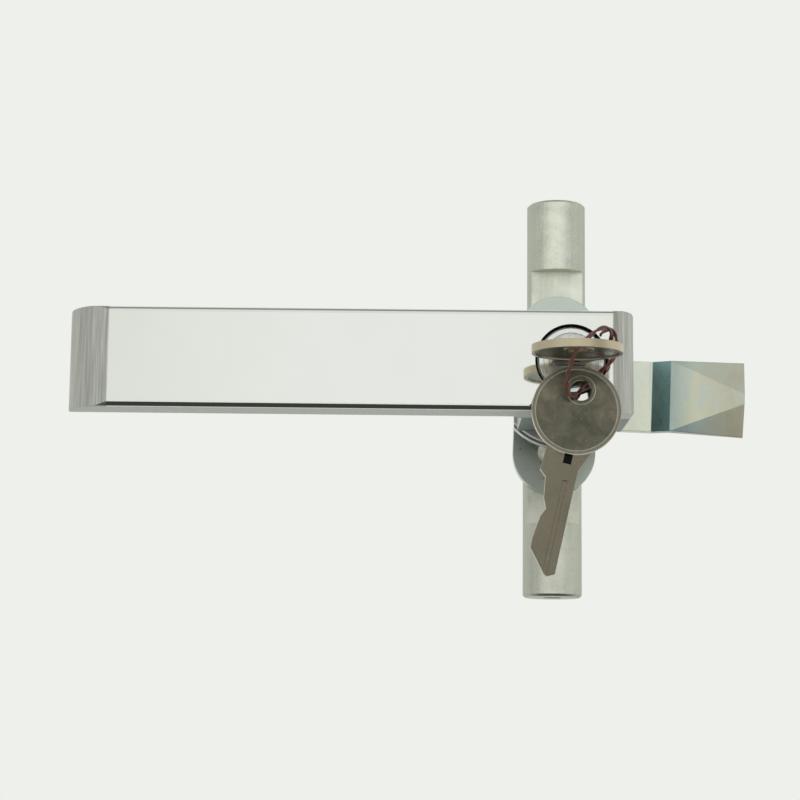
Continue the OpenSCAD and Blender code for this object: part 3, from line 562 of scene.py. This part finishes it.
# worn nickel plate over brass: a dark tarnished field in the bow, paler rims, tan cut edges, fine scratches,
# painted highlights along the edges of the rim, bow and boss, and painted shade in the shank's slot
keyMetal = {
    "tarnishScale": 210,
    "warmScale": 70,
    "fieldShares": (0.5, 0.5),  # of the tarnish and the warm patches
    "field": (0.095, 0.096, 0.072),
    "fieldWarm": (0.20, 0.178, 0.132),
    "warmFrom": (0.4, 0.62),
    "blade": (0.19, 0.17, 0.125),
    "bladeFrom": (11.2 * mm, 12 * mm),
    "bladeWarm": (0.3, 0.6),
    "bladeShare": (0.6, 1.0),
    "bowRadius": 10.85 * mm,
    "rimWidth": 0.9 * mm,
    "rimSoft": 0.09 * mm,
    "rimPast": (0.6 * mm, 0.2 * mm),  # beyond the bow's radius
    "rim": (0.21, 0.20, 0.16),
    "rimMost": 0.8,
    "holeOut": 5 * mm,
    "bossRadius": 3.5 * mm,
    # painted highlights along the edges of the rim, the bow and the boss: their width, colour and strength
    "lineWidth": (0.16 * mm, 0.06 * mm),
    "line": (0.60, 0.57, 0.49),
    "lineMost": 0.75,
    "edge": (0.56, 0.48, 0.33),
    "edgeFrom": (0.8, 0.5),  # how little a face looks along the key's thin axis
    "edgeTarnish": (0.35, 0.65),
    "edgeShare": (1.0, 0.7),
    "scratchWaves": (3800, 500, 900),
    "scratchTurn": (12, 33, 8),
    "scratchFrom": (0.6, 0.76),
    "scratchMost": 0.45,
    "scratched": (0.55, 0.52, 0.43),
    # painted shade in the shank's slot
    "slotMiddle": (0.5 * mm, 12.1 * mm),
    "slotHalf": (1.05 * mm, 1.25 * mm),
    "slotDepth": (0.9 * mm, 0.8 * mm),
    "slotShade": (0.01, 0.01, 0.009),
    "bumpShares": (0.6, 1.0),  # of the tarnish and the scratches
    "bump": (0.25, 0.03 * mm, 0.16 * mm),
    "rough": (0.36, 0.24),
}
# how each key lies: the middle of its bow, its turn in degrees, its thin axis and the side its hole is on
lockKeyLie = {
    "centre": (0, -57.09 * mm, -0.61 * mm),
    "turn": (1.2, 0, 0),
    "thinAxis": 2,
    "holeSide": -1,
}
spareKeyLie = {
    "centre": (0.72 * mm, -45 * mm, -13.38 * mm),
    "turn": (0, 12.5, 0),
    "thinAxis": 1,
    "holeSide": 1,
}


def keyMaterial(name, setup, centre, turn, thinAxis, holeSide):
    t = Tree(name)
    # in the key's own directions, from the middle of its bow
    local = t.axes(t.mapped(move=centre, turn=turn, kind="TEXTURE"))
    flat = [local[k] for k in range(3) if k != thinAxis]
    radius = t.length(*flat)
    fromHole = t.length(flat[0], t.math("SUBTRACT", flat[1], holeSide * setup["holeOut"]))
    tarnish = t.noise(setup["tarnishScale"], detail=6, rough=0.65, twist=0.6)
    warm = t.noise(setup["warmScale"], detail=3, rough=0.5)
    scratch = t.streaks(setup["scratchWaves"], setup["scratchTurn"], rough=0.7)
    # the bow's field and the blade
    warmth = t.span(t.blend((tarnish, warm), setup["fieldShares"]), *setup["warmFrom"])
    colour = t.mix(warmth, setup["field"], setup["fieldWarm"])
    patchy = t.span(warm, *setup["bladeWarm"], *setup["bladeShare"])
    colour = t.mix(t.times(t.span(radius, *setup["bladeFrom"]), patchy), colour, setup["blade"])
    # the bow's rim, and a painted highlight along the edges where it, the bow and the boss round the hole end
    bow = setup["bowRadius"]
    rimInside = bow - setup["rimWidth"]
    rim = t.times(t.span(radius, rimInside - setup["rimSoft"], rimInside + setup["rimSoft"]),
                  t.span(radius, *(bow + past for past in setup["rimPast"])))
    colour = t.mix(t.times(rim, setup["rimMost"]), colour, setup["rim"])
    for away, at in ((radius, rimInside), (radius, bow), (fromHole, setup["bossRadius"])):
        line = t.span(t.apart(away, at), *setup["lineWidth"])
        colour = t.mix(t.times(line, setup["lineMost"]), colour, setup["line"])
    # cut edges and scratches
    cut = t.span(t.math("ABSOLUTE", t.axes(t.facing)[thinAxis]), *setup["edgeFrom"])
    rubbed = t.span(tarnish, *setup["edgeTarnish"], *setup["edgeShare"])
    colour = t.mix(t.times(cut, rubbed), colour, setup["edge"])
    scratched = t.span(scratch, *setup["scratchFrom"], toHigh=setup["scratchMost"])
    colour = t.mix(scratched, colour, setup["scratched"])
    # painted shade on the floor and walls of the slot in the shank
    middle = (setup["slotMiddle"][0], -holeSide * setup["slotMiddle"][1])
    inside = [t.math("LESS_THAN", t.apart(along, mid), half)
              for along, mid, half in zip(flat, middle, setup["slotHalf"])]
    slot = t.times(*inside, t.span(t.math("ABSOLUTE", local[thinAxis]), *setup["slotDepth"]))
    colour = t.mix(slot, colour, setup["slotShade"])
    t.bump(t.blend((tarnish, scratch), setup["bumpShares"]), *setup["bump"])
    return t.finish(colour, t.span(tarnish, *noiseRange, *setup["rough"]))


# shiny plated plug face, darker in its worn patches
platedPlug = {
    "patchScale": 260,
    "tones": [(0.32, (0.34, 0.34, 0.32)), (0.62, (0.66, 0.67, 0.64))],
    "scratchWaves": (3000, 400, 300),
    "scratchTurn": (0, 40, 0),
    "scratchFrom": (0.62, 0.76),
    "scratchMost": 0.5,
    "scratched": (0.75, 0.74, 0.70),
    "bump": (0.2, 0.02 * mm, 0.15 * mm),
    "rough": (0.22, 0.12),
}


def plugMaterial(setup):
    t = Tree("platedPlug")
    patch = t.noise(setup["patchScale"], detail=6, rough=0.65)
    scratch = t.streaks(setup["scratchWaves"], setup["scratchTurn"], rough=0.7)
    scratched = t.span(scratch, *setup["scratchFrom"], toHigh=setup["scratchMost"])
    colour = t.mix(scratched, t.ramp(patch, setup["tones"]), setup["scratched"])
    t.bump(scratch, *setup["bump"])
    return t.finish(colour, t.span(patch, *noiseRange, *setup["rough"]))


# stamped brass of the wafers
waferBrass = {
    "patchScale": 400,
    "grainWaves": (300, 5000, 3000),
    "shares": (0.6, 0.4),  # of the patches and the grain
    "tones": [(0.3, (0.38, 0.28, 0.11)), (0.65, (0.66, 0.52, 0.24))],
    "bump": (0.25, 0.02 * mm),
    "rough": (0.25, 0.42),
}


def brassMaterial(setup):
    t = Tree("waferBrass")
    patch = t.noise(setup["patchScale"], detail=6, rough=0.6)
    grain = t.streaks(setup["grainWaves"], detail=3)
    colour = t.ramp(t.blend((patch, grain), setup["shares"]), setup["tones"])
    t.bump(grain, *setup["bump"])
    return t.finish(colour, t.span(patch, *noiseRange, *setup["rough"]))


# black rubber of the seals and dark plastic of the thrust washer, with a faint bloom
sealRubber = {
    "speckScale": 1500,
    "bloomScale": 140,
    "bloomFrom": (0.4, 0.75),
    "plain": (0.012, 0.012, 0.012),
    "bloom": (0.05, 0.05, 0.05),
    "bump": (0.35, 0.04 * mm),
    "rough": (0.55, 0.75),
}
thrustPlastic = {
    **sealRubber,
    "plain": (0.03, 0.03, 0.032),
    "bloom": (0.08, 0.08, 0.08),
    "rough": (0.4, 0.6),
}


def rubberMaterial(name, setup):
    t = Tree(name)
    speck = t.noise(setup["speckScale"], detail=4, rough=0.6)
    bloom = t.noise(setup["bloomScale"], detail=4, rough=0.6)
    colour = t.mix(t.span(bloom, *setup["bloomFrom"]), setup["plain"], setup["bloom"])
    t.bump(speck, *setup["bump"])
    return t.finish(colour, t.span(speck, *noiseRange, *setup["rough"]), metal=0.0)


# thin reddish-brown coating on the tie wire, rubbed lighter in places
wireCoat = {
    "patchScale": 520,
    "grainScale": 4200,
    "tones": [(0.32, (0.085, 0.024, 0.02)), (0.55, (0.17, 0.052, 0.042)), (0.75, (0.27, 0.10, 0.075))],
    "bump": (0.3, 0.02 * mm),
    "gloss": 0.2,
    "rough": (0.5, 0.34),
}


def wireMaterial(setup):
    t = Tree("wireCoat")
    patch = t.noise(setup["patchScale"], detail=5, rough=0.65)
    t.bump(t.noise(setup["grainScale"], detail=3, rough=0.6), *setup["bump"])
    t.shader.inputs["Coat Weight"].default_value = setup["gloss"]
    return t.finish(t.ramp(patch, setup["tones"]), t.span(patch, *noiseRange, *setup["rough"]), metal=0.0)


finishes = {
    "chromeBar": chromeBarMaterial(chromeBar),
    "chromeRose": turnedMetal("chromeRose", chromeRose),
    "brightShell": turnedMetal("brightShell", brightShell),
    "turnedSteel": turnedMetal("turnedSteel", turnedSteel),
    "noseFilm": filmZinc("noseFilm", noseFilm),
    "camFilm": filmZinc("camFilm", camFilm),
    "rodZinc": grainZinc("rodZinc", rodZinc),
    "platedPlug": plugMaterial(platedPlug),
    "waferBrass": brassMaterial(waferBrass),
    "sealRubber": rubberMaterial("sealRubber", sealRubber),
    "thrustPlastic": rubberMaterial("thrustPlastic", thrustPlastic),
    "wireCoat": wireMaterial(wireCoat),
    "lockKeyMetal": keyMaterial("lockKeyMetal", keyMetal, **lockKeyLie),
    "spareKeyMetal": keyMaterial("spareKeyMetal", keyMetal, **spareKeyLie),
}

wears = {
    "chromeBar": ["handle_bar"],
    "chromeRose": ["base_rose"],
    "brightShell": ["lock_cylinder"],
    "turnedSteel": ["tooth_washer", "cylinder_screw", "spindle", "stop_pin", "wave_washer", "spring_washer",
                    "wafer_springs", "plug_ring", "drive_cam", "lock_bolt"],
    "noseFilm": ["mounting_nut", "nose_cam"],
    "camFilm": ["rod_cam"],
    "rodZinc": ["cam_washer", "cam_screw", "rod_rivets", "rivet_washers", "upper_rod_end", "lower_rod_end"],
    "platedPlug": ["lock_plug"],
    "waferBrass": ["wafer_tumblers"],
    "sealRubber": ["door_gasket", "spindle_seal"],
    "thrustPlastic": ["thrust_washer"],
    "lockKeyMetal": ["lock_key"],
    "spareKeyMetal": ["spare_key"],
}
for finish, names in wears.items():
    for name in names:
        mesh = nodes[name].data
        mesh.materials.clear()
        mesh.materials.append(finishes[finish])
wire.data.materials.append(finishes["wireCoat"])
print("finishes set:", len(finishes))


# studio: pale surround, one soft lamp, a pale floor well below, and cards that only reflections see
studio = {
    "pale": (0.855, 0.871, 0.839),
    "fillStrength": 0.75,  # of the surround, where it lights matte faces
    "lamp": {"place": (-0.4, -1.1, 0.9), "aim": (0, 0, 0), "side": 1.0, "watts": 9},
    "floor": {"drop": 0.115, "middle": (0, 0.3), "half": 1.4, "rough": 0.9},
    "cards": [  # name, centre, half sides along two directions, brightness
        ("topCard", (0, 0.03, 0.5), (0.8, 0, 0), (0, 0.22, 0), 0.3),
        ("lowCard", (-0.315, -0.12, -0.145), (0.485, 0, 0), (0, 0.18, 0), 0.05),
        ("leftCard", (-0.9, -0.15, 0), (0, 0.35, 0), (0, 0, 0.5), 0.72),
        ("rightCard", (0.61, -0.526, 0.1), (0.168, 0.182, 0), (0, 0, 0.35), 0.55),
    ],
    "glow": {"centre": (-0.05, -1.6, 0.26), "core": 0.05, "half": 0.42, "brightness": 0.98},
}


def makeWorld(setup):
    world = bpy.data.worlds.new("paleSurround")
    world.use_nodes = True
    tree = world.node_tree
    tree.nodes.clear()
    out = tree.nodes.new("ShaderNodeOutputWorld")
    back = tree.nodes.new("ShaderNodeBackground")
    rays = tree.nodes.new("ShaderNodeLightPath")
    back.inputs["Color"].default_value = (*setup["pale"], 1)
    seen = rays.outputs["Is Camera Ray"]
    for name in ("Is Glossy Ray", "Is Transmission Ray"):
        most = tree.nodes.new("ShaderNodeMath")
        most.operation = "MAXIMUM"
        tree.links.new(seen, most.inputs[0])
        tree.links.new(rays.outputs[name], most.inputs[1])
        seen = most.outputs[0]
    strength = tree.nodes.new("ShaderNodeMapRange")
    tree.links.new(seen, strength.inputs["Value"])
    strength.inputs["To Min"].default_value = setup["fillStrength"]
    strength.inputs["To Max"].default_value = 1.0
    tree.links.new(strength.outputs[0], back.inputs["Strength"])
    tree.links.new(back.outputs[0], out.inputs["Surface"])
    scene.world = world


def makeLamp(setup):
    data = bpy.data.lights.new("keyLamp", "AREA")
    data.shape = "SQUARE"
    data.size = setup["side"]
    data.energy = setup["watts"]
    lamp = bpy.data.objects.new("keyLamp", data)
    lamp.location = setup["place"]
    lamp.rotation_euler = (Vector(setup["aim"]) - Vector(setup["place"])).to_track_quat("-Z", "Y").to_euler()
    lamp.visible_glossy = False
    scene.collection.objects.link(lamp)


def flatPiece(name, centre, half1, half2, material):
    c, a, b = (np.array(v, float) for v in (centre, half1, half2))
    mesh = bpy.data.meshes.new(name)
    mesh.from_pydata(np.stack([c - a - b, c + a - b, c + a + b, c - a + b]).tolist(), [], [(0, 1, 2, 3)])
    mesh.materials.append(material)
    piece = bpy.data.objects.new(name, mesh)
    scene.collection.objects.link(piece)
    return piece


def glowing(t, colour):
    glow = t.add("ShaderNodeEmission")
    t.feed(colour, glow.inputs["Color"])
    t.join(glow, "Emission", t.out, "Surface")
    return t.material


def cardMaterial(name, brightness):
    return glowing(Tree(name), (brightness, brightness, brightness, 1))


# a soft round glow that fades into the surround's own paleness
def glowMaterial(setup, pale):
    t = Tree("frontGlow")
    x, _, z = t.axes(t.mapped(move=setup["centre"], kind="TEXTURE"))
    near = t.add("ShaderNodeMapRange", interpolation_type="SMOOTHSTEP")
    for value, socket in zip((t.length(x, z), setup["core"], setup["half"], 1.0, 0.0), near.inputs):
        t.feed(value, socket)
    bright = setup["brightness"]
    return glowing(t, t.mix(near.outputs[0], pale, (bright, bright, bright)))


def onlyInReflections(card):
    card.visible_camera = False
    card.visible_diffuse = False
    card.visible_transmission = False
    card.visible_shadow = False


def makeFloor(setup, pale):
    height = min(cadBox[0][2], cadBox[1][2]) - setup["drop"]
    half = setup["half"]
    material = Tree("paleFloor").finish(pale, setup["rough"], metal=0.0)
    flatPiece("paleFloor", (*setup["middle"], height), (half, 0, 0), (0, half, 0), material)


def makeCards(setup):
    for name, centre, half1, half2, brightness in setup["cards"]:
        onlyInReflections(flatPiece(name, centre, half1, half2, cardMaterial(name, brightness)))
    glow = setup["glow"]
    half = glow["half"]
    material = glowMaterial(glow, setup["pale"])
    onlyInReflections(flatPiece("frontGlow", glow["centre"], (half, 0, 0), (0, 0, half), material))


makeWorld(studio)
makeLamp(studio["lamp"])
makeFloor(studio["floor"], studio["pale"])
makeCards(studio)
print("studio ready")
